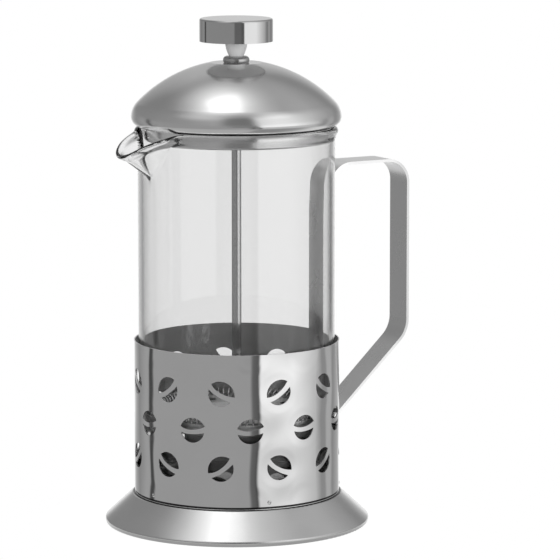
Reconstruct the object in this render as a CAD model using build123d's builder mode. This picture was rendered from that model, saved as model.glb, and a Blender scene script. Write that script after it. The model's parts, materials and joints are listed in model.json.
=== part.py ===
"""Three-cup french press: a glass beaker in a punched steel frame, with a domed lid and a mesh plunger.

Units are millimetres. +Z is up, the origin is on the table under the axis of the beaker,
the handle points along +X and the spout along -X. The plunger is pressed fully down.
"""

import os
from math import acos, asin, atan2, cos, hypot, pi, radians, sin, sqrt, tan

from build123d import *

# Clearances
weld_gap = 0.05
thread_gap = 0.05
loose_gap = 0.3

# Glass beaker
beaker_radius = 35.7
beaker_height = 131.4
glass_wall = 1.8
glass_floor = 2.6
beaker_corner = 6.0
bead_overhang = 1.1
bead_blend = 2.6

# Pouring spout of the beaker
spout_reach = 12.3
spout_depth = 17.4
spout_drop = 7.6
spout_mouth = 21.0
spout_nose = 3.2
spout_wall = 1.5
spout_root_nose = 0.9
spout_root_side = 1.6

# Foot of the frame
foot_radius = 48.2
foot_height = 11.1
foot_sheet = 0.6
foot_shoulder = 0.7
foot_lip = 1.7
foot_lip_draft = 0.4
foot_turn_in = 2.6
collar_height = 6.0

# Floor of the frame and the pad that the beaker stands on
floor_sheet = 0.5
floor_rise = 0.9
floor_lip = 2.4
floor_bend = 1.0
pad_thickness = 1.0

# Punched sleeve
sleeve_sheet = 0.4
sleeve_height = 55.0
sleeve_lift = 1.1

# Coffee bean cut-outs of the sleeve: a wide lobe above a wavy slit and a narrow lobe below it
bean_length = 9.6
bean_height = 9.0
bean_slit = 1.6
bean_slit_drop = 0.6
bean_wave = 0.45
bean_tilt = 32.0
bean_columns = 11
bean_row_pitch = 13.6
bean_top_margin = 13.9
bean_turn = 3.1

# Strip handle
strip_thickness = 1.0
strip_width = 12.0
leg_gap = 0.2
leg_overlap = 20.0
handle_top = 129.9
handle_reach = 69.7
handle_bend = 8.0
handle_knee = 65.1
handle_slope = 43.5
knee_bend = 10.0
tab_bend = 3.0
tab_length = 11.0
strip_flattening = 9.0

# Lid shell and the liner crimped into it
lid_margin = 1.2
lid_sheet = 0.5
lid_edge_height = 3.6
lid_edge_radius = 7.4
lid_crown = 24.0
lid_land = 9.5
lid_seat_gap = 0.2
liner_sheet = 0.4
liner_depth = 4.8
liner_gap = 0.5
liner_bend = 1.0
liner_hole = 4.0

# Rod guide on the lid, with its washer and nut
guide_radius = 4.9
guide_height = 2.4
guide_top = 3.2
guide_thread = 3.0
washer_radius = 5.4
washer_thickness = 0.6
nut_flats = 9.0
nut_thickness = 2.8

# Knob: a steel cap over a plastic insert whose boss takes the rod
knob_radius = 13.3
knob_height = 8.2
knob_sheet = 0.5
knob_edge = 0.7
knob_recess = 0.4
boss_height = 5.3
boss_radius = 4.0
boss_foot = 2.6

# Plunger rod with rolled threads at both ends
rod_radius = 1.75
rod_thread = 2.0
knob_thread_depth = 10.5
rod_collar_radius = 4.0
rod_collar_height = 3.6

# Filter stack: spiral plate, spring, mesh, cross plate and hub
filter_drop = 103.6
plate_sheet = 0.5
plate_overlap = 0.6
plate_centre = 10.0
plate_flat = 14.0
plate_hole = 2.6
plate_hole_count = 12
spring_wire = 0.7
spring_coil = 5.0
spring_turns = 90
spring_break = 5.0
wire_hole = 0.55
mesh_sheet = 0.3
mesh_gap = 0.45
mesh_curl = 2.0
cross_sheet = 0.6
cross_margin = 4.8
cross_lip = 2.0
cross_bend = 1.2
cross_hole = 5.0
cross_hole_count = 8
hub_radius = 4.6
hub_height = 6.0
hub_neck = 3.0
hub_floor = 1.2

# Radii that follow from the fits
glass_inner = beaker_radius - glass_wall
leg_inner = beaker_radius + leg_gap
leg_outer = leg_inner + strip_thickness
sleeve_inner = leg_outer + weld_gap
sleeve_outer = sleeve_inner + sleeve_sheet
tab_inner = sleeve_outer + weld_gap
tab_outer = tab_inner + strip_thickness
collar_outer = sleeve_inner - weld_gap
collar_inner = collar_outer - foot_sheet
floor_outer = collar_inner - weld_gap
pad_radius = floor_outer - floor_bend
lid_radius = beaker_radius + bead_overhang + lid_margin
liner_outer = glass_inner - liner_gap
mesh_outer = glass_inner - mesh_gap
coil_radius = (spring_coil - spring_wire) / 2
spring_ring = mesh_outer - mesh_sheet - loose_gap - spring_coil / 2
plate_outer = spring_ring + plate_overlap
cross_radius = mesh_outer - cross_margin
rod_bore = rod_thread + thread_gap

# Heights that follow from the stack, from the table up to the knob
floor_bottom = foot_height + floor_rise
pad_bottom = floor_bottom + floor_sheet
beaker_bottom = pad_bottom + pad_thickness
rim = beaker_bottom + beaker_height
sleeve_bottom = foot_height + sleeve_lift
sleeve_top = sleeve_bottom + sleeve_height
skirt_bottom = rim - liner_depth

# Heights of the filter stack, from the middle of the spring down to the end of the rod
spring_height = rim - filter_drop
plate_dish = (spring_coil - plate_sheet) / 2 + loose_gap
dish_bottom = spring_height - plate_sheet / 2 - plate_dish
dish_top = dish_bottom + plate_sheet
mesh_bottom = dish_bottom - mesh_sheet
cross_bottom = mesh_bottom - cross_sheet
hub_bottom = cross_bottom - hub_height
rod_bottom = hub_bottom + hub_floor + loose_gap

# Lid outline: a spherical crown, a rounded edge and a curl over the rim, each tangent to the next
lid_edge = rim + lid_edge_height
crown_rise = lid_crown - lid_edge_height
edge_centre = lid_radius - lid_edge_radius
crown_radius = (edge_centre**2 + crown_rise**2 - lid_edge_radius**2) / (2 * (crown_rise - lid_edge_radius))
crown_centre = rim + lid_crown - crown_radius
crown_end = atan2(lid_edge - crown_centre, edge_centre)
crown_start = acos(lid_land / crown_radius)
land = crown_centre + crown_radius * sin(crown_start)
curl_radius = lid_edge_height - lid_seat_gap
curl_centre = lid_radius - curl_radius
flange_radius = curl_centre + (curl_radius - lid_sheet) / 2
flange_bottom = lid_edge - sqrt(3) / 2 * (curl_radius - lid_sheet) + weld_gap

# Heights of the guide and the knob above the flat land of the lid
boss_bottom = land + guide_height
knob_bottom = boss_bottom + boss_height
knob_top = knob_bottom + knob_height
rod_top = boss_bottom + knob_thread_depth
washer_top = land - lid_sheet
nut_top = washer_top - washer_thickness


def on_arc(centre, height, radius, angle):
    """Point of an arc in the radius and height plane."""
    return (centre + radius * cos(angle), height + radius * sin(angle))


def write(part, label):
    """Label a finished piece and write it as its own file."""
    part.label = label
    export_step(part, f"parts/{label}.step")


os.makedirs("parts", exist_ok=True)

# Foot: a collar inside the sleeve, a shoulder, a conical skirt and a turned-in edge to stand on
with BuildPart() as foot:
    with BuildSketch(Plane.XZ):
        with BuildLine():
            FilletPolyline(
                (collar_outer, foot_height + collar_height),
                (collar_outer, foot_height),
                (sleeve_outer + foot_shoulder, foot_height),
                (foot_radius, foot_lip),
                (foot_radius - foot_lip_draft, 0),
                (foot_radius - foot_lip_draft - foot_turn_in, 0),
                radius=(foot_sheet / 2, foot_sheet * 2, foot_sheet * 1.5, foot_sheet * 1.4),
            )
            offset(amount=foot_sheet, side=Side.RIGHT)
        make_face()
    revolve(axis=Axis.Z)
write(foot.part, "foot")

# Floor plate: a shallow dish welded inside the collar of the foot
with BuildPart() as floor_plate:
    with BuildSketch(Plane.XZ):
        with BuildLine():
            FilletPolyline(
                (0, floor_bottom),
                (floor_outer, floor_bottom),
                (floor_outer, floor_bottom + floor_lip),
                radius=floor_bend,
            )
            offset(amount=floor_sheet, side=Side.LEFT)
        make_face()
    revolve(axis=Axis.Z)
write(floor_plate.part, "floor_plate")

# Pad: a plastic disc between the floor plate and the glass
with BuildPart() as base_pad:
    with BuildSketch(Plane.XY.offset(pad_bottom)):
        Circle(pad_radius)
    extrude(amount=pad_thickness)
    chamfer(base_pad.edges().sort_by(Axis.Z)[-1], pad_thickness / 3)
write(base_pad.part, "base_pad")

# Outline of a bean: five points along each side of the slit, then the top of the far side of that lobe
slit_shape = [(-1, 2), (-0.5, 0.1), (0, 0), (0.5, 0.9), (1, 3.2)]
slit_height = bean_slit / 2 - bean_slit_drop
wide_lobe = [(x * bean_length / 2, slit_height + y * bean_wave) for x, y in slit_shape]
wide_lobe.append((0, bean_height / 2))
narrow_lobe = [(x * bean_length / 2.1, slit_height - bean_slit + y * bean_wave / 2) for x, y in slit_shape]
narrow_lobe.append((0, -bean_height / 2))

# Place of each bean as height, turn about the axis and tilt: leaning rows stay clear of the handle
bean_pitch = 360 / bean_columns
bean_places = []
for row in range(3):
    height = sleeve_top - bean_top_margin - row * bean_row_pitch
    for column in range(bean_columns):
        if row == 1:
            bean_places.append((height, bean_turn + (column + 0.5) * bean_pitch, 0))
        elif column > 0:
            lean = 1 if (column + row // 2) % 2 == 0 else -1
            bean_places.append((height, bean_turn + column * bean_pitch, lean * bean_tilt))

with BuildPart() as bean_punches:
    for height, turn, tilt in bean_places:
        outward = Vector(cos(radians(turn)), sin(radians(turn)), 0)
        level = Vector(-sin(radians(turn)), cos(radians(turn)), 0) * cos(radians(tilt))
        start = outward * (sleeve_inner - loose_gap * 3) + Vector(0, 0, height)
        with BuildSketch(Plane(origin=start, x_dir=level + Vector(0, 0, sin(radians(tilt))), z_dir=outward)):
            for lobe in (wide_lobe, narrow_lobe):
                with BuildLine():
                    ThreePointArc(lobe[0], lobe[1], lobe[2])
                    ThreePointArc(lobe[2], lobe[3], lobe[4])
                    ThreePointArc(lobe[4], lobe[5], lobe[0])
                make_face()
        extrude(amount=sleeve_sheet + loose_gap * 6)

# Sleeve: a rolled band around the beaker, punched with three rows of beans
with BuildPart() as sleeve:
    with BuildSketch(Plane.XY.offset(sleeve_bottom)):
        Circle(sleeve_outer)
        Circle(sleeve_inner, mode=Mode.SUBTRACT)
    extrude(amount=sleeve_height)
    add(bean_punches.part, mode=Mode.SUBTRACT)
write(sleeve.part, "sleeve")

# Handle: a flat strip bent to shape, with a leg inside the sleeve and a tab outside it, both curved to fit
strip_half = strip_width / 2
leg_bottom = sleeve_top - leg_overlap
leg_flat = handle_top - handle_bend - strip_thickness * 2
tab_top = handle_knee - (handle_reach - tab_outer) * tan(radians(handle_slope))
tab_flat = tab_top - tab_bend
with BuildPart() as handle:
    with BuildSketch(Plane.XZ):
        with BuildLine():
            FilletPolyline(
                (leg_inner, leg_flat),
                (leg_inner, handle_top),
                (handle_reach, handle_top),
                (handle_reach, handle_knee),
                (tab_outer, tab_top),
                (tab_outer, tab_flat),
                radius=(
                    handle_bend + strip_thickness,
                    handle_bend + strip_thickness,
                    knee_bend + strip_thickness,
                    tab_bend,
                ),
            )
            offset(amount=strip_thickness, side=Side.RIGHT)
        make_face()
    extrude(amount=strip_half, both=True)
    for inner, outer, flat, curved, end in (
        (leg_inner, leg_outer, leg_flat, leg_flat - strip_flattening, leg_bottom),
        (tab_inner, tab_outer, tab_flat, tab_flat - strip_flattening / 3, tab_flat - tab_length),
    ):
        inner_edge = sqrt(inner**2 - strip_half**2)
        outer_edge = sqrt(outer**2 - strip_half**2)
        with BuildSketch(Plane.XY.offset(flat)):
            with BuildLine():
                Polyline(
                    (inner, -strip_half),
                    (inner, strip_half),
                    (outer, strip_half),
                    (outer, -strip_half),
                    close=True,
                )
            make_face()
        with BuildSketch(Plane.XY.offset(curved)) as curved_section:
            with BuildLine():
                ThreePointArc((inner_edge, -strip_half), (inner, 0), (inner_edge, strip_half))
                Line((inner_edge, strip_half), (outer_edge, strip_half))
                ThreePointArc((outer_edge, strip_half), (outer, 0), (outer_edge, -strip_half))
                Line((outer_edge, -strip_half), (inner_edge, -strip_half))
            make_face()
        loft()
        extrude(curved_section.sketch, amount=end - curved)
write(handle.part, "handle")

# Spout of the beaker: its keel leaves the middle of the wall and reaches the lip in a straight line
spout_slope = spout_reach / (spout_depth - spout_drop)
spout_root = glass_wall * 0.6
spout_bottom = rim - spout_depth - spout_root / spout_slope
spout_top_reach = spout_slope * spout_depth
spout_top_nose = spout_nose * spout_depth / (spout_depth - spout_drop)


def spout_form(sink, narrowing):
    """Tapered spout body, drawn in by sink at the keel and by narrowing at the sides."""
    root_nose = spout_root_nose - narrowing / 3
    root_side = spout_root_side - narrowing / 2
    with BuildPart() as form:
        with BuildSketch(Plane.XY.offset(spout_bottom)):
            with Locations((root_nose + spout_root + sink - beaker_radius, 0)):
                Circle(root_nose)
            with Locations((spout_mouth / 3 - beaker_radius, 0)):
                Circle(root_side)
            make_hull()
        with BuildSketch(Plane.XY.offset(rim)):
            with Locations((spout_top_nose - spout_top_reach - beaker_radius, 0)):
                Circle(spout_top_nose - sink)
            with Locations((1 - beaker_radius, 0)):
                Circle(spout_mouth / 2 - narrowing)
            make_hull()
        loft()
    return form.part


with BuildPart() as spout:
    add(spout_form(0, 0))
    with BuildSketch(Plane.XY.offset(spout_bottom)):
        Circle(beaker_radius - glass_wall / 2)
    extrude(amount=rim - spout_bottom, mode=Mode.SUBTRACT)

# Beaker: a blown cup with a beaded rim, cut down at the lip of the spout
bead_radius = (glass_wall + bead_overhang) / 2
bead_height = rim - bead_radius
lip_inside = sqrt((beaker_radius + bead_overhang) ** 2 - (spout_mouth / 2) ** 2)
lip_run = beaker_radius + spout_reach - lip_inside
with BuildPart() as beaker:
    with BuildSketch(Plane.XZ):
        with BuildLine():
            FilletPolyline(
                (0, beaker_bottom),
                (beaker_radius, beaker_bottom),
                (beaker_radius, bead_height - bead_blend),
                radius=beaker_corner,
            )
            Line((beaker_radius, bead_height - bead_blend), (beaker_radius + bead_overhang, bead_height))
            ThreePointArc(
                (beaker_radius + bead_overhang, bead_height),
                (glass_inner + bead_radius, rim),
                (glass_inner, bead_height),
            )
            FilletPolyline(
                (glass_inner, bead_height),
                (glass_inner, beaker_bottom + glass_floor),
                (0, beaker_bottom + glass_floor),
                radius=beaker_corner - glass_wall,
            )
            Line((0, beaker_bottom + glass_floor), (0, beaker_bottom))
        make_face()
    revolve(axis=Axis.Z)
    add(spout.part)
    add(spout_form(spout_wall * hypot(1, spout_slope), spout_wall), mode=Mode.SUBTRACT)
    split(
        bisect_by=Plane(
            origin=(-lip_inside, 0, rim),
            x_dir=(0, 1, 0),
            z_dir=(-spout_drop, 0, lip_run),
        ),
        keep=Keep.BOTTOM,
    )
write(beaker.part, "beaker")

# Lid: a spun dome with a flat land for the guide and an edge curled in over the rim
inside_radius = crown_radius - lid_sheet
inside_start = asin((land - lid_sheet - crown_centre) / inside_radius)
with BuildPart() as lid_dome:
    with BuildSketch(Plane.XZ):
        with BuildLine():
            for inset, start in ((0, crown_start), (lid_sheet, inside_start)):
                crown = crown_radius - inset
                Line((guide_thread + thread_gap, land - inset), on_arc(0, crown_centre, crown, start))
                ThreePointArc(
                    on_arc(0, crown_centre, crown, start),
                    on_arc(0, crown_centre, crown, (start + crown_end) / 2),
                    on_arc(0, crown_centre, crown, crown_end),
                )
                ThreePointArc(
                    on_arc(edge_centre, lid_edge, lid_edge_radius - inset, crown_end),
                    on_arc(edge_centre, lid_edge, lid_edge_radius - inset, crown_end / 2),
                    (lid_radius - inset, lid_edge),
                )
                ThreePointArc(
                    (lid_radius - inset, lid_edge),
                    on_arc(curl_centre, lid_edge, curl_radius - inset, -pi / 4),
                    (curl_centre, lid_edge - curl_radius + inset),
                )
            Line((guide_thread + thread_gap, land), (guide_thread + thread_gap, land - lid_sheet))
            Line((curl_centre, lid_edge - curl_radius), (curl_centre, lid_edge - curl_radius + lid_sheet))
        make_face()
    revolve(axis=Axis.Z)
write(lid_dome.part, "lid_dome")

# Liner: a dish whose flange is held in the curl of the dome and whose skirt centres the lid in the glass
with BuildPart() as lid_liner:
    with BuildSketch(Plane.XZ):
        with BuildLine():
            FilletPolyline(
                (flange_radius, flange_bottom),
                (liner_outer, flange_bottom),
                (liner_outer, skirt_bottom),
                (liner_hole, skirt_bottom),
                radius=(liner_bend / 2, liner_bend),
            )
            offset(amount=liner_sheet, side=Side.RIGHT)
        make_face()
    revolve(axis=Axis.Z)
write(lid_liner.part, "lid_liner")

# Guide: a turned bush that stands on the land of the lid, with a threaded shank through it
with BuildPart() as rod_guide:
    with BuildSketch(Plane.XZ):
        with BuildLine():
            Polyline(
                (guide_radius - guide_height / 6, land),
                (guide_thread, land),
                (guide_thread, nut_top - nut_thickness - thread_gap * 10),
                (rod_bore, nut_top - nut_thickness - thread_gap * 10),
                (rod_bore, land + guide_height),
                (guide_top, land + guide_height),
            )
            ThreePointArc(
                (guide_top, land + guide_height),
                (guide_radius - guide_height / 8, land + guide_height * 0.7),
                (guide_radius - guide_height / 6, land),
            )
        make_face()
    revolve(axis=Axis.Z)
write(rod_guide.part, "rod_guide")

# Washer and nut that hold the guide under the dome
with BuildPart() as guide_washer:
    with BuildSketch(Plane.XY.offset(washer_top)):
        Circle(washer_radius)
        Circle(guide_thread + thread_gap, mode=Mode.SUBTRACT)
    extrude(amount=-washer_thickness)
write(guide_washer.part, "guide_washer")
with BuildPart() as guide_nut:
    with BuildSketch(Plane.XY.offset(nut_top)):
        RegularPolygon(nut_flats / 2, 6, major_radius=False)
        Circle(guide_thread + thread_gap, mode=Mode.SUBTRACT)
    extrude(amount=-nut_thickness)
write(guide_nut.part, "guide_nut")

# Knob cap: a drawn steel cup, open below
with BuildPart() as knob_cap:
    with BuildSketch(Plane.XZ):
        with BuildLine():
            FilletPolyline(
                (0, knob_top),
                (knob_radius, knob_top),
                (knob_radius, knob_bottom),
                radius=knob_edge,
            )
            offset(amount=knob_sheet, side=Side.RIGHT)
        make_face()
    revolve(axis=Axis.Z)
write(knob_cap.part, "knob_cap")

# Knob insert: a plastic plug that fills the cap, with a rounded boss around the rod
plug_radius = knob_radius - knob_sheet - weld_gap
plug_top = knob_top - knob_sheet - weld_gap
with BuildPart() as knob_insert:
    with BuildSketch(Plane.XZ):
        with BuildLine():
            Polyline(
                (boss_radius, knob_bottom + knob_recess),
                (plug_radius, knob_bottom + knob_recess),
                (plug_radius, plug_top - knob_edge),
                (plug_radius - knob_edge, plug_top),
                (0, plug_top),
                (0, rod_top + loose_gap),
                (rod_bore, rod_top + loose_gap),
                (rod_bore, boss_bottom),
                (boss_foot, boss_bottom),
            )
            ThreePointArc(
                (boss_foot, boss_bottom),
                (boss_radius - boss_height / 12, boss_bottom + boss_height * 0.42),
                (boss_radius, knob_bottom + knob_recess),
            )
        make_face()
    revolve(axis=Axis.Z)
write(knob_insert.part, "knob_insert")

# Rod: a plain shaft with a thread for the hub at the bottom and one for the knob at the top
knob_thread_start = boss_bottom + thread_gap * 20
with BuildPart() as rod:
    with BuildSketch(Plane.XZ):
        with BuildLine():
            Polyline(
                (0, rod_bottom),
                (rod_radius, rod_bottom),
                (rod_thread, rod_bottom + (rod_thread - rod_radius)),
                (rod_thread, dish_top),
                (rod_radius, dish_top),
                (rod_radius, knob_thread_start),
                (rod_thread, knob_thread_start),
                (rod_thread, rod_top - (rod_thread - rod_radius)),
                (rod_radius, rod_top),
                (0, rod_top),
                close=True,
            )
        make_face()
    revolve(axis=Axis.Z)
write(rod.part, "rod")

# Collar pressed on the rod, which clamps the filter stack against the hub
with BuildPart() as rod_collar:
    with BuildSketch(Plane.XY.offset(dish_top)):
        Circle(rod_collar_radius)
        Circle(rod_radius + weld_gap, mode=Mode.SUBTRACT)
    extrude(amount=rod_collar_height)
    chamfer(rod_collar.edges().group_by(Axis.Z)[-1].sort_by(SortBy.RADIUS)[-1], rod_collar_height / 6)
write(rod_collar.part, "rod_collar")

# Spiral plate: a dished disc with flow holes, and a ring of small holes that the spring is wound through
with BuildPart() as spiral_plate:
    with BuildSketch(Plane.XZ):
        with BuildLine():
            FilletPolyline(
                (rod_bore, dish_bottom),
                (plate_centre, dish_bottom),
                (plate_flat, dish_bottom + plate_dish),
                (plate_outer, dish_bottom + plate_dish),
                radius=plate_sheet * 3,
            )
            offset(amount=plate_sheet, side=Side.LEFT)
        make_face()
    revolve(axis=Axis.Z)
    with BuildSketch(Plane.XY.offset(dish_bottom)):
        with PolarLocations((plate_flat + spring_ring - coil_radius) / 2, plate_hole_count):
            Circle(plate_hole)
        with PolarLocations(
            spring_ring - coil_radius,
            spring_turns,
            start_angle=spring_break / 2 + (360 - spring_break) / spring_turns / 2,
            angular_range=360 - spring_break,
        ):
            Circle(wire_hole)
    extrude(amount=plate_dish * 2, mode=Mode.SUBTRACT)
write(spiral_plate.part, "spiral_plate")


def spring_point(turns):
    """Point and direction on the middle of the spring wire after a number of turns."""
    span = radians(360 - spring_break) / spring_turns
    around = radians(spring_break / 2) + span * turns
    coil = 2 * pi * turns
    reach = spring_ring + coil_radius * cos(coil)
    outward = Vector(cos(around), sin(around), 0)
    along = Vector(-sin(around), cos(around), 0)
    place = outward * reach + Vector(0, 0, spring_height + coil_radius * sin(coil))
    heading = along * (reach * span)
    heading += (Vector(0, 0, cos(coil)) - outward * sin(coil)) * (2 * pi * coil_radius)
    return place, heading.normalized()


# Spring: one wire coiled round the edge of the spiral plate, each half turn as two arcs that share a tangent
spring_steps = [spring_point(step / 2) for step in range(2 * spring_turns + 1)]
with BuildPart() as filter_spring:
    with BuildLine() as spring_path:
        for (start, leave), (end, arrive) in zip(spring_steps, spring_steps[1:]):
            chord = end - start
            bend = 2 * (1 - leave.dot(arrive))
            slant = chord.dot(leave + arrive)
            reach = (sqrt(slant**2 + bend * chord.dot(chord)) - slant) / bend
            middle = (start + end + (leave - arrive) * reach) / 2
            TangentArc(start, middle, tangent=leave)
            TangentArc(middle, end, tangent=chord - (leave + arrive) * reach)
    with BuildSketch(Plane(origin=spring_steps[0][0], z_dir=spring_steps[0][1])):
        Circle(spring_wire / 2)
    sweep()
write(filter_spring.part, "filter_spring")

# Least gap between turns of the spring, measured on points of the wire more than a quarter turn apart
wire_points = [spring_point(step / 40)[0] for step in range(40 * spring_turns + 1)]
near_gaps = [
    (wire_points[a] - wire_points[b]).length - spring_wire
    for a in range(len(wire_points))
    for b in range(a + 10, min(a + 90, len(wire_points)))
]
end_gap = (wire_points[0] - wire_points[-1]).length - spring_wire
print("least gap between spring turns", round(min(near_gaps), 3), "and between its ends", round(end_gap, 3))

# Mesh: a fine woven disc turned up at the edge, under the spring
with BuildPart() as filter_mesh:
    with BuildSketch(Plane.XZ):
        with BuildLine():
            FilletPolyline(
                (rod_bore, mesh_bottom),
                (mesh_outer, mesh_bottom),
                (mesh_outer, spring_height),
                radius=mesh_curl,
            )
            offset(amount=mesh_sheet, side=Side.LEFT)
        make_face()
    revolve(axis=Axis.Z)
write(filter_mesh.part, "filter_mesh")

# Cross plate: a holed disc with a turned-down edge that carries the mesh
with BuildPart() as cross_plate:
    with BuildSketch(Plane.XZ):
        with BuildLine():
            FilletPolyline(
                (hub_neck + weld_gap, mesh_bottom),
                (cross_radius, mesh_bottom),
                (cross_radius, mesh_bottom - cross_lip),
                radius=cross_bend,
            )
            offset(amount=cross_sheet, side=Side.RIGHT)
        make_face()
    revolve(axis=Axis.Z)
    with BuildSketch(Plane.XY.offset(cross_bottom)):
        with PolarLocations((cross_radius + hub_radius) / 2, cross_hole_count):
            Circle(cross_hole)
    extrude(amount=cross_sheet, mode=Mode.SUBTRACT)
write(cross_plate.part, "cross_plate")

# Hub: a turned nut riveted into the cross plate, which screws on the rod
with BuildPart() as filter_hub:
    with BuildSketch(Plane.XZ):
        with BuildLine():
            Polyline(
                (0, hub_bottom),
                (hub_radius - hub_floor / 2, hub_bottom),
                (hub_radius, hub_bottom + hub_floor / 2),
                (hub_radius, cross_bottom),
                (hub_neck, cross_bottom),
                (hub_neck, mesh_bottom),
                (rod_bore, mesh_bottom),
                (rod_bore, hub_bottom + hub_floor),
                (0, hub_bottom + hub_floor),
                close=True,
            )
        make_face()
    revolve(axis=Axis.Z)
write(filter_hub.part, "filter_hub")
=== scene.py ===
"""Looks of a french press: glass beaker in a punched steel frame, domed lid and mesh plunger."""

import json
from math import cos, pi, radians, sin, sqrt

import bpy
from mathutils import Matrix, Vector

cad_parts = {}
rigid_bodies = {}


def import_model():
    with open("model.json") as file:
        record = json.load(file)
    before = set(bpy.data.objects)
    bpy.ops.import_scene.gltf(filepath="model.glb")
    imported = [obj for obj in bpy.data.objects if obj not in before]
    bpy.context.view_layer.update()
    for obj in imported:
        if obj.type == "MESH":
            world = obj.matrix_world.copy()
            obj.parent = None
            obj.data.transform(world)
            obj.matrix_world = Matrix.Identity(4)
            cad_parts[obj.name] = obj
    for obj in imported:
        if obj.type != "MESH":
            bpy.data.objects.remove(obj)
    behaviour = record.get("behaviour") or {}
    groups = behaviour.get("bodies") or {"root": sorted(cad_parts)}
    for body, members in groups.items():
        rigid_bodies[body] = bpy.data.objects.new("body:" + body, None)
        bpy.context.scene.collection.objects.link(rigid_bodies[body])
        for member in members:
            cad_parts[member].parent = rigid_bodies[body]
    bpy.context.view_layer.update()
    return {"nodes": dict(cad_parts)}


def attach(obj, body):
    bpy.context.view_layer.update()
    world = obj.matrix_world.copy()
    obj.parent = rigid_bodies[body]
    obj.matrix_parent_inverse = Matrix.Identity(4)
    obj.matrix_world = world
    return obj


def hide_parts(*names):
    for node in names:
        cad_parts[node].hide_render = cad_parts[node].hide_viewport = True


# Start without the objects of the start-up file
for leftover in list(bpy.data.objects):
    bpy.data.objects.remove(leftover)

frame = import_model()
nodes = frame["nodes"]
scene = bpy.context.scene
scene.view_settings.view_transform = "Standard"

MM = 0.001
UP = Vector((0, 0, 1))

# Camera direction on the floor, and the direction to its right
camera_turn = radians(-29.0)
camera_rise = radians(8.37)
toward_camera = Vector((sin(camera_turn), -cos(camera_turn), 0))
to_the_right = Vector((cos(camera_turn), sin(camera_turn), 0))


class Tree:
    """Short way to add shader nodes with their inputs."""

    def __init__(self, tree):
        self.tree = tree
        tree.nodes.clear()

    def add(self, kind, inputs=None, **settings):
        """Add a node, set or link its inputs, and give back its first output."""
        node = self.tree.nodes.new(kind)
        for name, value in settings.items():
            setattr(node, name, value)
        for name, value in (inputs or {}).items():
            if isinstance(value, bpy.types.NodeSocket):
                self.tree.links.new(value, node.inputs[name])
            else:
                node.inputs[name].default_value = value
        return node.outputs[0] if node.outputs else None

    def math(self, operation, a, b=0.0, c=0.0):
        return self.add("ShaderNodeMath", {0: a, 1: b, 2: c}, operation=operation)

    def mix(self, factor, a, b, blend="MIX"):
        """Blend of two colours."""
        inputs = {0: factor, 6: a, 7: b}
        return self.add("ShaderNodeMix", inputs, data_type="RGBA", blend_type=blend).node.outputs[2]

    def ramp(self, factor, stops):
        """Grey tone along a factor, from pairs of place and value."""
        socket = self.add("ShaderNodeValToRGB", {"Fac": factor})
        elements = socket.node.color_ramp.elements
        while len(elements) < len(stops):
            elements.new(1.0)
        for element, (place, value) in zip(elements, stops):
            element.position = place
            element.color = (value, value, value, 1)
        return socket

    def span(self, value, low, high, to_low=0.0, to_high=1.0, smooth=True):
        """Value carried from one range to another, and held at its ends."""
        names = {"Value": value, 1: low, 2: high, 3: to_low, 4: to_high}
        kind = "SMOOTHSTEP" if smooth else "LINEAR"
        return self.add("ShaderNodeMapRange", names, interpolation_type=kind)

    def axes(self, place):
        """X, Y and Z of a place."""
        return self.add("ShaderNodeSeparateXYZ", {0: place}).node.outputs


def material(name):
    made = bpy.data.materials.new(name)
    made.use_nodes = True
    return made, Tree(made.node_tree)


# Studio round the object: a grey room with a white panel on the right, narrow dark gaps, a white backdrop,
# a white table and soft lights overhead
world = bpy.data.worlds.new("studio")
scene.world = world
world.use_nodes = True
sky = Tree(world.node_tree)
facing = sky.add("ShaderNodeTexCoord")


def along_direction(direction):
    """How far the seen direction goes along another one, from -1 to 1."""
    along = sky.add("ShaderNodeVectorMath", {0: facing, 1: direction}, operation="DOT_PRODUCT")
    return along.node.outputs["Value"]


def band(value, low, high, stops):
    """Grey tone along a value that runs from low to high."""
    return sky.ramp(sky.span(value, low, high, smooth=False), stops)


def panel_tone(bearing, panels):
    """Tone of the panels at a bearing in radians."""
    return band(bearing, -pi, pi, [((turn + 180) / 360, value) for turn, value in panels])


height = along_direction(UP)
ahead = along_direction(toward_camera)
aside = along_direction(to_the_right)
around = sky.math("ARCTAN2", aside, ahead)

# Panels level with the object and above it, as turn from the camera direction in degrees and tone
low_panels = [
    (-180, 1.0), (-170, 1.0), (-162, 0.62), (-152, 0.42), (-142, 0.3), (-124, 0.42), (-117, 0.42),
    (-115, 0.08), (-110, 0.08), (-107, 0.4), (14.5, 0.4), (17.5, 0.16), (24, 0.12), (27, 1.1), (66, 1.1),
    (100, 0.65), (108, 0.42), (111, 0.33), (117, 0.33), (121, 0.5), (130, 0.5), (137, 0.3), (158, 0.5),
    (166, 1.0), (180, 1.0),
]
high_panels = [
    (-180, 0.54), (-172, 0.45), (-167, 0.38), (-160, 0.28), (-146, 0.3), (-100, 0.34), (-50, 0.4),
    (-22, 0.48), (-9, 0.24), (17, 0.2), (27, 1.0), (45, 1.12), (64, 1.06), (82, 0.82), (100, 0.55),
    (118, 0.43), (130, 0.38), (138, 0.3), (146, 0.3), (153, 0.44), (165, 0.6), (180, 0.54),
]
# The upper panels behind the object lean over with height
panel_lean = sky.math("MULTIPLY", sky.span(ahead, -0.5, 0.2, 0.5, 0.0), height)
low_tone = panel_tone(around, low_panels)
high_tone = panel_tone(sky.math("SUBTRACT", around, panel_lean), high_panels)
tone = sky.mix(sky.span(height, -0.04, 0.16), low_tone, high_tone)
# Ceiling, paler to the right
top_tone = sky.ramp(sky.span(aside, -0.5, 0.5), [(0.0, 0.33), (1.0, 0.48)])
tone = sky.mix(sky.span(height, 0.6, 0.88), tone, top_tone)
# White table below, paler toward the backdrop
table_tone = sky.span(ahead, -0.4, 0.1, 0.85, 0.54)
tone = sky.mix(sky.span(height, -0.54, -0.38, 1.0, 0.0), tone, table_tone)

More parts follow.
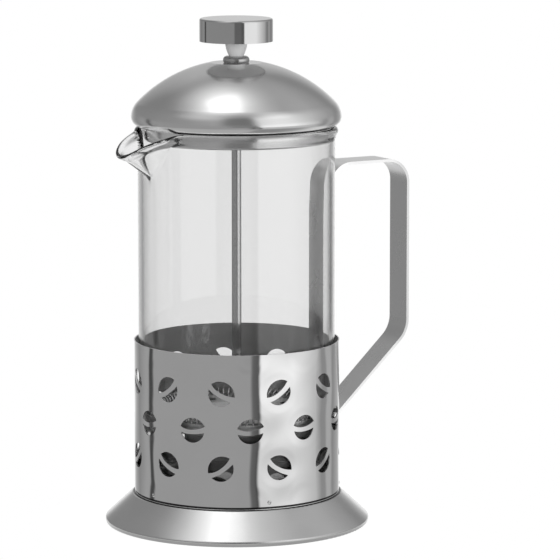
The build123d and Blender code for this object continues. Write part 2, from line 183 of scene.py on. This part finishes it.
# Dark gap in front, at the height that the knob reflects
gap_gain = -0.5
gap_across = band(around, -0.115, 0.315, [(0.0, 0.0), (0.12, 1.0), (0.88, 1.0), (1.0, 0.0)])
gap_up = band(height, -0.15, 0.05, [(0.0, 0.0), (0.25, 1.0), (0.6, 1.0), (1.0, 0.0)])
gap = sky.math("MULTIPLY", sky.math("MULTIPLY", gap_across, gap_up), gap_gain)

# The white panel on the right fades toward the table
low_gain, full_gain = -0.45, 0.28
panel_across = band(around, radians(22), radians(112), [(0.0, 0.0), (0.02, 1.0), (0.45, 1.0), (1.0, 0.0)])
panel_up = band(
    height, -0.25, 0.15,
    [(0.0, 0.08), (0.12, 0.36), (0.195, 0.6), (0.275, 0.76), (0.41, 1.0), (0.62, 0.9), (1.0, 0.62)],
)
fade = sky.math("MULTIPLY", panel_across, sky.span(panel_up, 0.0, 1.0, low_gain, full_gain, smooth=False))
room_strength = sky.math("ADD", sky.math("ADD", gap, fade), 1.0)

# Soft lights high over the object: a strong one a little to the left, and three fainter ones round it,
# as shares of the way toward the camera and to the right, reach in degrees, strength and fall-off
wide = [(0.0, 1.0), (0.2, 0.98), (0.33, 0.82), (0.46, 0.53), (0.6, 0.29), (0.78, 0.1), (1.0, 0.0)]
fading = [(0.0, 1.0), (0.25, 0.9), (0.55, 0.5), (0.8, 0.13), (1.0, 0.0)]
soft_lights = [
    (0.0, -0.12, 34, 0.95, wide),
    (-0.33, -0.3, 22, 0.3, fading),
    (0.53, -0.57, 34, 0.4, fading),
    (0.37, 0.62, 25, 0.4, fading),
]
glow = 0.0
for ahead_share, aside_share, reach, strength, stops in soft_lights:
    middle = (UP + toward_camera * ahead_share + to_the_right * aside_share).normalized()
    off = sky.math("ARCCOSINE", along_direction(middle))
    glow = sky.math("ADD", glow, sky.math("MULTIPLY", band(off, 0.0, radians(reach), stops), strength))
room = sky.add("ShaderNodeBackground", {"Color": tone, "Strength": room_strength})
lights = sky.add("ShaderNodeBackground", {"Color": (1, 1, 1, 1), "Strength": glow})
sky.add("ShaderNodeOutputWorld", {"Surface": sky.add("ShaderNodeAddShader", {0: room, 1: lights})})


def mesh_object(name, points, faces, look):
    """Object made of faces between points in millimetres."""
    mesh = bpy.data.meshes.new(name)
    mesh.from_pydata([point * MM for point in points], [], faces)
    mesh.materials.append(look)
    made = bpy.data.objects.new(name, mesh)
    scene.collection.objects.link(made)
    return made


def ring_point(turn, radius, level):
    """Point at a turn round the axis."""
    return Vector((radius * cos(turn), radius * sin(turn), level))


def between_rings(inner, outer, steps):
    """Faces between two rings of points, from the number of the first point of each."""
    return [
        (inner + step, outer + step, outer + (step + 1) % steps, inner + (step + 1) % steps)
        for step in range(steps)
    ]


# Round pale floor that the object stands on, as rings of radius and level round a middle point
floor_rings = [(71.0, 0.0), (72.0, -0.6), (72.0, -2.5)]
floor_steps = 128
floor_points = [Vector((0, 0, 0))]
for radius, level in floor_rings:
    floor_points += [ring_point(2 * pi * step / floor_steps, radius, level) for step in range(floor_steps)]
floor_faces = [(0, 1 + step, 1 + (step + 1) % floor_steps) for step in range(floor_steps)]
for ring in range(len(floor_rings) - 1):
    inner = 1 + ring * floor_steps
    floor_faces += between_rings(inner, inner + floor_steps, floor_steps)
# It shines for the camera, in mirrors and through glass, and does not light dull surfaces
floor_shine = 0.86
floor_look, tree = material("floor_white")
path = tree.add("ShaderNodeLightPath").node.outputs
seen = tree.math("MAXIMUM", path["Is Camera Ray"], path["Is Glossy Ray"])
seen = tree.math("MAXIMUM", seen, path["Is Transmission Ray"])
shine_strength = tree.math("MULTIPLY", seen, floor_shine)
shine = tree.add("ShaderNodeEmission", {"Color": (1, 1, 1, 1), "Strength": shine_strength})
matt = tree.add("ShaderNodeBsdfDiffuse", {"Color": (0.3, 0.3, 0.3, 1)})
tree.add("ShaderNodeOutputMaterial", {"Surface": tree.add("ShaderNodeAddShader", {0: shine, 1: matt})})
floor = mesh_object("floor", floor_points, floor_faces, floor_look)


def lamp(name, size, place, target, strength):
    """Rectangular soft lamp at a place in camera terms: right, toward the camera, up."""
    data = bpy.data.lights.new(name, "AREA")
    data.shape = "RECTANGLE"
    data.size, data.size_y = size
    data.energy = strength * pi * size[0] * size[1]
    made = bpy.data.objects.new(name, data)
    scene.collection.objects.link(made)
    made.location = to_the_right * place[0] + toward_camera * place[1] + UP * place[2]
    aim = Vector(target) - made.location
    made.rotation_euler = aim.to_track_quat("-Z", "Y").to_euler()
    return made


lamp("overhead", size=(0.36, 0.36), place=(-0.12, 0.02, 1.1), target=(0, 0, 0.1), strength=0.4)
# Fill light that brings dull surfaces to a plain level, and is not mirrored in metal or glass
front = lamp("front", size=(0.8, 0.8), place=(-0.1, 1.5, 0.55), target=(0, 0, 0.05), strength=4.5)
front.visible_glossy = False
front.visible_transmission = False
front.visible_camera = False

# Camera, which looks a little to the right of the object's middle and below it
middle_height, camera_distance = 0.095, 1.4
aim_right, aim_down = 0.01575, 0.00624
camera = bpy.data.cameras.new("camera")
camera.sensor_width = 36
camera.lens = 248.0
camera.clip_end = 20
eye = bpy.data.objects.new("camera", camera)
scene.collection.objects.link(eye)
back = toward_camera * cos(camera_rise) + UP * sin(camera_rise)
upward = back.cross(to_the_right)
target = UP * middle_height
eye.location = target + back * camera_distance
aim_point = target + to_the_right * aim_right - upward * aim_down
eye.rotation_euler = (aim_point - eye.location).to_track_quat("-Z", "Y").to_euler()
scene.camera = eye


def spun_lines(tree, place):
    """Distance from the axis, a little of the turn round it, and height, for circular grinding marks."""
    turn_scale = 0.0006
    x, y, z = tree.axes(place)
    flat = tree.math("ADD", tree.math("POWER", x, 2.0), tree.math("POWER", y, 2.0))
    turn = tree.math("MULTIPLY", tree.math("ARCTAN2", y, x), turn_scale)
    return tree.add("ShaderNodeCombineXYZ", {0: tree.math("SQRT", flat), 1: turn, 2: z})


def strip_lines(tree, place):
    """Coordinates stretched along a strip that lies across Y, for lengthwise grinding marks."""
    stretch = (0.04, 1.0, 0.04)
    return tree.add("ShaderNodeVectorMath", {0: place, 1: stretch}, operation="MULTIPLY")


def bean_dents(tree, place):
    """Shallow dents that the punch leaves round each bean, on two staggered grids."""
    beans_round, row_pitch = 11, 0.0136
    first_turn, top_row, sleeve_radius = radians(3.1), 0.0533, 0.0373
    dent_from, dent_to = 0.0044, 0.0078
    pitch = 2 * pi / beans_round
    x, y, z = tree.axes(place)
    turn = tree.math("ARCTAN2", y, x)
    dents = []
    for start, level in ((first_turn, top_row), (first_turn + pitch / 2, top_row - row_pitch)):
        across = tree.math("WRAP", tree.math("SUBTRACT", turn, start), pitch / 2, -pitch / 2)
        across = tree.math("MULTIPLY", across, sleeve_radius)
        up = tree.math("WRAP", tree.math("SUBTRACT", z, level), row_pitch, -row_pitch)
        reach = tree.math("ADD", tree.math("POWER", across, 2.0), tree.math("POWER", up, 2.0))
        dents.append(tree.span(tree.math("SQRT", reach), dent_from, dent_to))
    return tree.math("MINIMUM", dents[0], dents[1])


def woven_wire(tree, place):
    """Crossing wires of a fine plain weave."""
    wire_pitch = 0.0006
    x, y, _ = tree.axes(place)
    waves = [tree.math("SINE", tree.math("MULTIPLY", axis, 2 * pi / wire_pitch)) for axis in (x, y)]
    return tree.math("MAXIMUM", tree.math("ABSOLUTE", waves[0]), tree.math("ABSOLUTE", waves[1]))


def sleeve_inside(tree, place):
    """Mask that is 1 inside the sleeve, where the sheet has a dull mill finish and its tone is painted
    lighter.
    """
    radius = tree.axes(spun_lines(tree, place))["X"]
    return tree.span(radius, 0.0371, 0.0372, 1.0, 0.0)


def sleeve_painted_light(tree, place):
    """Tone of the sleeve: full inside, where light is painted onto the shaded inside wall, and lower on the
    polished outside.
    """
    return tree.span(sleeve_inside(tree, place), 0.0, 1.0, 0.75, 1.0)


def strip_painted_light_and_shade(tree, place):
    """Tone of the handle strip with painted light and shade: lightest on the leg by the glass, where light is
    painted, lower on the runs between, and lowest on the upright grip, where shade is painted.
    """
    x = tree.axes(place)["X"]
    leg = tree.span(x, 0.040, 0.046, 1.0, 0.878)
    grip = tree.span(x, 0.062, 0.0675, 1.0, 0.78)
    return tree.math("MULTIPLY", leg, grip)


def foot_painted_shade(tree, place):
    """Painted shade: a dark line at the low edge of the foot, and a dark groove between its collar and its
    shoulder.
    """
    radius, _, level = tree.axes(spun_lines(tree, place))
    low = tree.span(level, 0.0011, 0.0021, 0.42, 1.0)
    outside = tree.span(radius, 0.0378, 0.0381, 0.06, 1.0)
    inside = tree.span(radius, 0.0365, 0.0367, 1.0, 0.06)
    return tree.math("MULTIPLY", low, tree.math("MAXIMUM", outside, inside))


def steel(
    name, tone, roughness, spread, grain_depth, wave_depth, lines=None, relief=None, shade=None, dull=None
):
    """Bare steel with smudged roughness, fine grain and slow waviness.

    Where given, lines sets the run of the grain, relief is a bump with its depth, shade multiplies the tone by
    a mask of painted light and shade, and dull is a mask with the roughness that it brings.
    """
    tone_spread = 0.02
    made, tree = material(name)
    place = tree.add("ShaderNodeTexCoord").node.outputs["Object"]
    grain_place = lines(tree, place) if lines else place
    fine = tree.add("ShaderNodeTexNoise", {"Vector": grain_place, "Scale": 2400.0, "Detail": 3.0})
    slow = tree.add("ShaderNodeTexNoise", {"Vector": place, "Scale": 42.0, "Detail": 1.0})
    smudge = tree.add("ShaderNodeTexNoise", {"Vector": place, "Scale": 55.0, "Detail": 5.0})
    colour = tree.ramp(smudge, [(0.3, tone - tone_spread), (0.7, tone + tone_spread)])
    if shade:
        colour = tree.mix(1.0, colour, shade(tree, place), blend="MULTIPLY")
    rough = tree.span(smudge, 0.25, 0.75, roughness - spread, roughness + spread, smooth=False)
    if dull:
        mask, dull_roughness = dull
        rough = tree.math("MAXIMUM", rough, tree.math("MULTIPLY", mask(tree, place), dull_roughness))
    bump = tree.add("ShaderNodeBump", {"Height": slow, "Distance": wave_depth, "Strength": 1.0})
    if relief:
        shape, depth = relief
        bump = tree.add(
            "ShaderNodeBump",
            {"Height": shape(tree, place), "Distance": depth, "Strength": 1.0, "Normal": bump},
        )
    bump = tree.add(
        "ShaderNodeBump", {"Height": fine, "Distance": grain_depth, "Strength": 1.0, "Normal": bump}
    )
    shader = tree.add(
        "ShaderNodeBsdfPrincipled",
        {"Base Color": colour, "Metallic": 1.0, "Roughness": rough, "Normal": bump},
    )
    tree.add("ShaderNodeOutputMaterial", {"Surface": shader})
    return made


def plastic(name, tone):
    """Plain moulded plastic with a fine, slightly uneven skin."""
    tone_spread = 0.03
    made, tree = material(name)
    place = tree.add("ShaderNodeTexCoord").node.outputs["Object"]
    skin = tree.add("ShaderNodeTexNoise", {"Vector": place, "Scale": 900.0, "Detail": 3.0})
    cloud = tree.add("ShaderNodeTexNoise", {"Vector": place, "Scale": 120.0, "Detail": 3.0})
    colour = tree.ramp(cloud, [(0.3, tone - tone_spread), (0.7, tone)])
    rough = tree.span(cloud, 0.3, 0.7, 0.32, 0.42, smooth=False)
    bump = tree.add("ShaderNodeBump", {"Height": skin, "Distance": 0.00002, "Strength": 0.5})
    shader = tree.add(
        "ShaderNodeBsdfPrincipled",
        {"Base Color": colour, "Roughness": rough, "Normal": bump},
    )
    tree.add("ShaderNodeOutputMaterial", {"Surface": shader})
    return made


def glass(name):
    """Clear blown glass with faint waviness."""
    made, tree = material(name)
    place = tree.add("ShaderNodeTexCoord").node.outputs["Object"]
    slow = tree.add("ShaderNodeTexNoise", {"Vector": place, "Scale": 25.0, "Detail": 1.0})
    rough = tree.span(slow, 0.3, 0.7, 0.0, 0.012, smooth=False)
    bump = tree.add("ShaderNodeBump", {"Height": slow, "Distance": 0.0001, "Strength": 0.5})
    shader = tree.add(
        "ShaderNodeBsdfPrincipled",
        {
            "Base Color": (0.9, 0.9, 0.9, 1),
            "Roughness": rough,
            "Transmission Weight": 1.0,
            "IOR": 1.48,
            "Normal": bump,
        },
    )
    tree.add("ShaderNodeOutputMaterial", {"Surface": shader})
    return made


# Steels: tone, roughness and its spread, then the depth of the grain and of the waves in metres
# The sleeve, foot and handle strip tones carry painted light and shade through their shade masks
polished = steel(
    "polished_steel", 0.96, 0.05, 0.02, 1e-6, 7e-4,
    relief=(bean_dents, 2.5e-5), shade=sleeve_painted_light, dull=(sleeve_inside, 0.5),
)
knob_look = steel("knob_steel", 0.54, 0.08, 0.02, 2e-6, 2e-5, lines=spun_lines)
satin_lid = steel("satin_lid", 0.68, 0.17, 0.03, 3e-6, 2e-5, lines=spun_lines)
satin_foot = steel("satin_foot", 0.7, 0.18, 0.04, 4e-6, 2e-5, lines=spun_lines, shade=foot_painted_shade)
satin_strip = steel("satin_strip", 0.98, 0.28, 0.05, 3e-6, 2e-5, lines=strip_lines, shade=strip_painted_light_and_shade)
rim_look = steel("rim_steel", 0.74, 0.16, 0.03, 2e-6, 1e-5)
plain = steel("plain_steel", 0.76, 0.2, 0.05, 3e-6, 5e-5)
bright = steel("bright_steel", 0.92, 0.35, 0.05, 3e-6, 5e-5)
rod_look = steel("rod_steel", 0.6, 0.1, 0.03, 1e-6, 1e-5)
chrome = steel("guide_chrome", 0.48, 0.05, 0.02, 1e-6, 1e-5)
mesh_look = steel("mesh_steel", 0.9, 0.4, 0.05, 3e-6, 1e-5, relief=(woven_wire, 1.2e-4))
white = plastic("white_plastic", 0.92)
clear = glass("clear_glass")

looks = {
    "sleeve": polished, "knob_cap": knob_look, "foot": satin_foot, "handle": satin_strip,
    "lid_dome": satin_lid, "floor_plate": bright, "lid_liner": plain, "guide_washer": plain,
    "guide_nut": plain, "spiral_plate": bright, "cross_plate": bright, "rod": rod_look,
    "rod_collar": rod_look, "filter_spring": rod_look, "filter_hub": rod_look, "rod_guide": chrome,
    "filter_mesh": mesh_look, "base_pad": white, "knob_insert": white, "beaker": clear,
}
for name, look in looks.items():
    nodes[name].material_slots[0].material = look

# Glass beaker: a blown cup with a beaded rim that runs out over a rounded pouring lip
glass_outer, glass_inner = 35.7, 33.9
glass_bottom, glass_rim = 13.5, 144.9
bottom_thickness, bottom_radii = 2.6, [0.0, 12.0, 22.0]
corner_outer, corner_inner, corner_steps = 6.0, 4.2, 8
wall_levels = [45.0, 80.0]
glass_mid = (glass_outer + glass_inner) / 2
glass_half = (glass_outer - glass_inner) / 2
bead, bead_steps = 1.45, 12
bead_out = glass_inner + bead - glass_mid
bead_swell, bead_blend = 1.1, 3.4
lip_reach, lip_half, lip_drop, lip_run = 11.6, 12.6, 6.8, 16.3
lip_thinning = 0.4
keel_depth, keel_margin = 15.5, 0.8
plain_depth = 30.0
# Rows of the upper wall, as shares of the way from its top down to plain wall, closer together at the top
wall_steps, crowding = 44, 1.15
wall_shares = [(step / wall_steps) ** crowding for step in range(wall_steps + 1)]


def bell(share, power, sharpness):
    """Bell curve: 1 in the middle, and 0 from a share of 1 on."""
    return max(0.0, 1 - min(1.0, share) ** power) ** sharpness


def eased(value, softness=0.012):
    """The value above zero, with a soft turn at zero."""
    return (value + sqrt(value**2 + softness)) / (1 + sqrt(1 + softness))


def lip_share(turn):
    """How far across the spout a column of the wall stands: 1 at the end of its lip, and far off behind."""
    return glass_mid * abs(sin(turn)) / lip_half if cos(turn) > 0 else 9.0


def lip_top(turn):
    """Depth of the top of the wall below the rim, which drops at the lip."""
    return bead + lip_drop * bell(lip_share(turn) * lip_half / lip_run, 2.5, 3.4)


def wall_depth(turn, depth_share):
    """Depth below the rim, from the top of the wall at 0 down to plain wall at 1."""
    top = lip_top(turn)
    return top + (plain_depth - top) * depth_share


def lip_lean(turn, depth_share):
    """How far the wall runs out at a depth, as a share of the spout's reach."""
    fall = (keel_depth - bead - lip_drop) * eased(1 - lip_share(turn) ** 1.3) + keel_margin
    slope = (fall + lip_top(turn) - wall_depth(turn, depth_share)) / fall
    return eased(slope, 0.01) * eased(1 - lip_share(turn) ** 2.7, 0.05)


def wall_point(turn, depth_share):
    """Point on the middle of the glass wall."""
    reach = lip_reach * lip_lean(turn, depth_share)
    level = glass_rim - wall_depth(turn, depth_share)
    return Vector((-glass_mid * cos(turn) - reach, -glass_mid * sin(turn), level))


def wall_rows(turn):
    """Points on the middle of the wall from its top down, with their normals and shares of full thickness."""
    nudge = 0.002
    outward = Vector((-cos(turn), -sin(turn), 0))
    rows = []
    for share in wall_shares:
        along = wall_point(turn, share + nudge) - wall_point(turn, share - nudge)
        side = wall_point(turn + nudge, share) - wall_point(turn - nudge, share)
        normal = along.cross(side).normalized()
        if normal.dot(outward) < 0:
            normal = -normal
        thin = 1 - lip_thinning * min(1.0, max(0.0, lip_lean(turn, share)))
        rows.append((wall_point(turn, share), normal, thin))
    return rows


def corner_points(wall_radius, corner, level):
    """Radius and level of points round the corner from the bottom up to the wall."""
    swings = [pi / 2 * step / corner_steps for step in range(corner_steps + 1)]
    return [
        (wall_radius - corner + corner * sin(swing), level + corner - corner * cos(swing)) for swing in swings
    ]


def glass_column(turn):
    """Points of the beaker at one turn from the spout: under it, up outside, over the bead and down inside."""
    outward = Vector((-cos(turn), -sin(turn), 0))
    inner_bottom = glass_bottom + bottom_thickness
    rows = wall_rows(turn)
    top, top_normal, top_thin = rows[0]
    rise = (top - rows[1][0]).normalized()
    outside = [(radius, glass_bottom) for radius in bottom_radii]
    outside += corner_points(glass_outer, corner_outer, glass_bottom)
    outside += [(glass_outer, level) for level in wall_levels]
    inside = [(radius, inner_bottom) for radius in bottom_radii]
    inside += corner_points(glass_inner, corner_inner, inner_bottom)
    inside += [(glass_inner, level) for level in wall_levels]
    column = [outward * radius + UP * level for radius, level in outside]
    for here, normal, thin in reversed(rows):
        flare = max(0.0, 1 - (here - top).length / bead_blend)
        swell = bead_swell * flare * flare * (3 - 2 * flare)
        column.append(here + normal * thin * (glass_half + swell))
    for step in range(1, bead_steps):
        swing = pi * step / bead_steps
        reach = bead_out + bead * cos(swing)
        column.append(top + (top_normal * reach + rise * (bead * sin(swing))) * top_thin)
    column += [here - normal * glass_half * thin for here, normal, thin in rows]
    return column + [outward * radius + UP * level for radius, level in reversed(inside)]


# Columns stand 1 degree apart at the spout and 3 degrees apart behind it, and meet at their first and last
# points
glass_turns = [radians(step) for step in range(-27, 28)] + [radians(step) for step in range(30, 331, 3)]
columns = [glass_column(turn) for turn in glass_turns]
inner_count = len(columns[0]) - 2
glass_points = [columns[0][0], columns[0][-1]]
for column in columns:
    glass_points += column[1:-1]
glass_faces = []
for index in range(len(columns)):
    this = 2 + index * inner_count
    that = 2 + (index + 1) % len(columns) * inner_count
    glass_faces.append((0, that, this))
    glass_faces.append((1, this + inner_count - 1, that + inner_count - 1))
    for row in range(inner_count - 1):
        glass_faces.append((this + row, that + row, that + row + 1, this + row + 1))
beaker_glass = mesh_object("beaker_glass", glass_points, glass_faces, clear)
beaker_glass.data.shade_smooth()
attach(beaker_glass, "beaker")
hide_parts("beaker")

# Rolled edge of the foot, a fine bead in the corner under the sleeve
edge_radius, edge_place, edge_level = 0.19, 37.08, 11.28
edge_steps, edge_sides = 240, 12
edge_points, edge_faces = [], []
for step in range(edge_steps):
    turn = 2 * pi * step / edge_steps
    for side in range(edge_sides):
        swing = 2 * pi * side / edge_sides
        reach = edge_place + edge_radius * cos(swing)
        edge_points.append(ring_point(turn, reach, edge_level + edge_radius * sin(swing)))
    edge_faces += between_rings(step * edge_sides, (step + 1) % edge_steps * edge_sides, edge_sides)
foot_edge = mesh_object("foot_edge", edge_points, edge_faces, rim_look)
foot_edge.data.shade_smooth()
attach(foot_edge, "frame")

# Five spot welds that hold the sleeve on its collar, as rings of radius and height over the sleeve
sleeve_outer = 37.35
weld_level, weld_start, weld_count, weld_steps = 13.7, radians(-100.9), 5, 20
weld_rings = [(0.85, -0.05), (0.72, 0.05), (0.5, 0.14), (0.26, 0.05), (0.12, 0.0)]
weld_points, weld_faces = [], []
for spot in range(weld_count):
    turn = weld_start + 2 * pi * spot / weld_count
    outward = Vector((cos(turn), sin(turn), 0))
    across = Vector((-sin(turn), cos(turn), 0))
    base = len(weld_points)
    for radius, proud in weld_rings:
        for step in range(weld_steps):
            swing = 2 * pi * step / weld_steps
            sideways = radius * cos(swing)
            sag = sleeve_outer - sqrt(sleeve_outer**2 - sideways**2)
            place = outward * (sleeve_outer + proud - sag) + across * sideways
            weld_points.append(place + UP * (weld_level + radius * sin(swing)))
    last = base + (len(weld_rings) - 1) * weld_steps
    for this in range(base, last, weld_steps):
        that = this + weld_steps
        for step in range(weld_steps):
            after = (step + 1) % weld_steps
            weld_faces.append((this + step, this + after, that + after, that + step))
    weld_faces.append(tuple(range(last, last + weld_steps)))
sleeve_welds = mesh_object("sleeve_welds", weld_points, weld_faces, chrome)
sleeve_welds.data.shade_smooth()
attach(sleeve_welds, "frame")
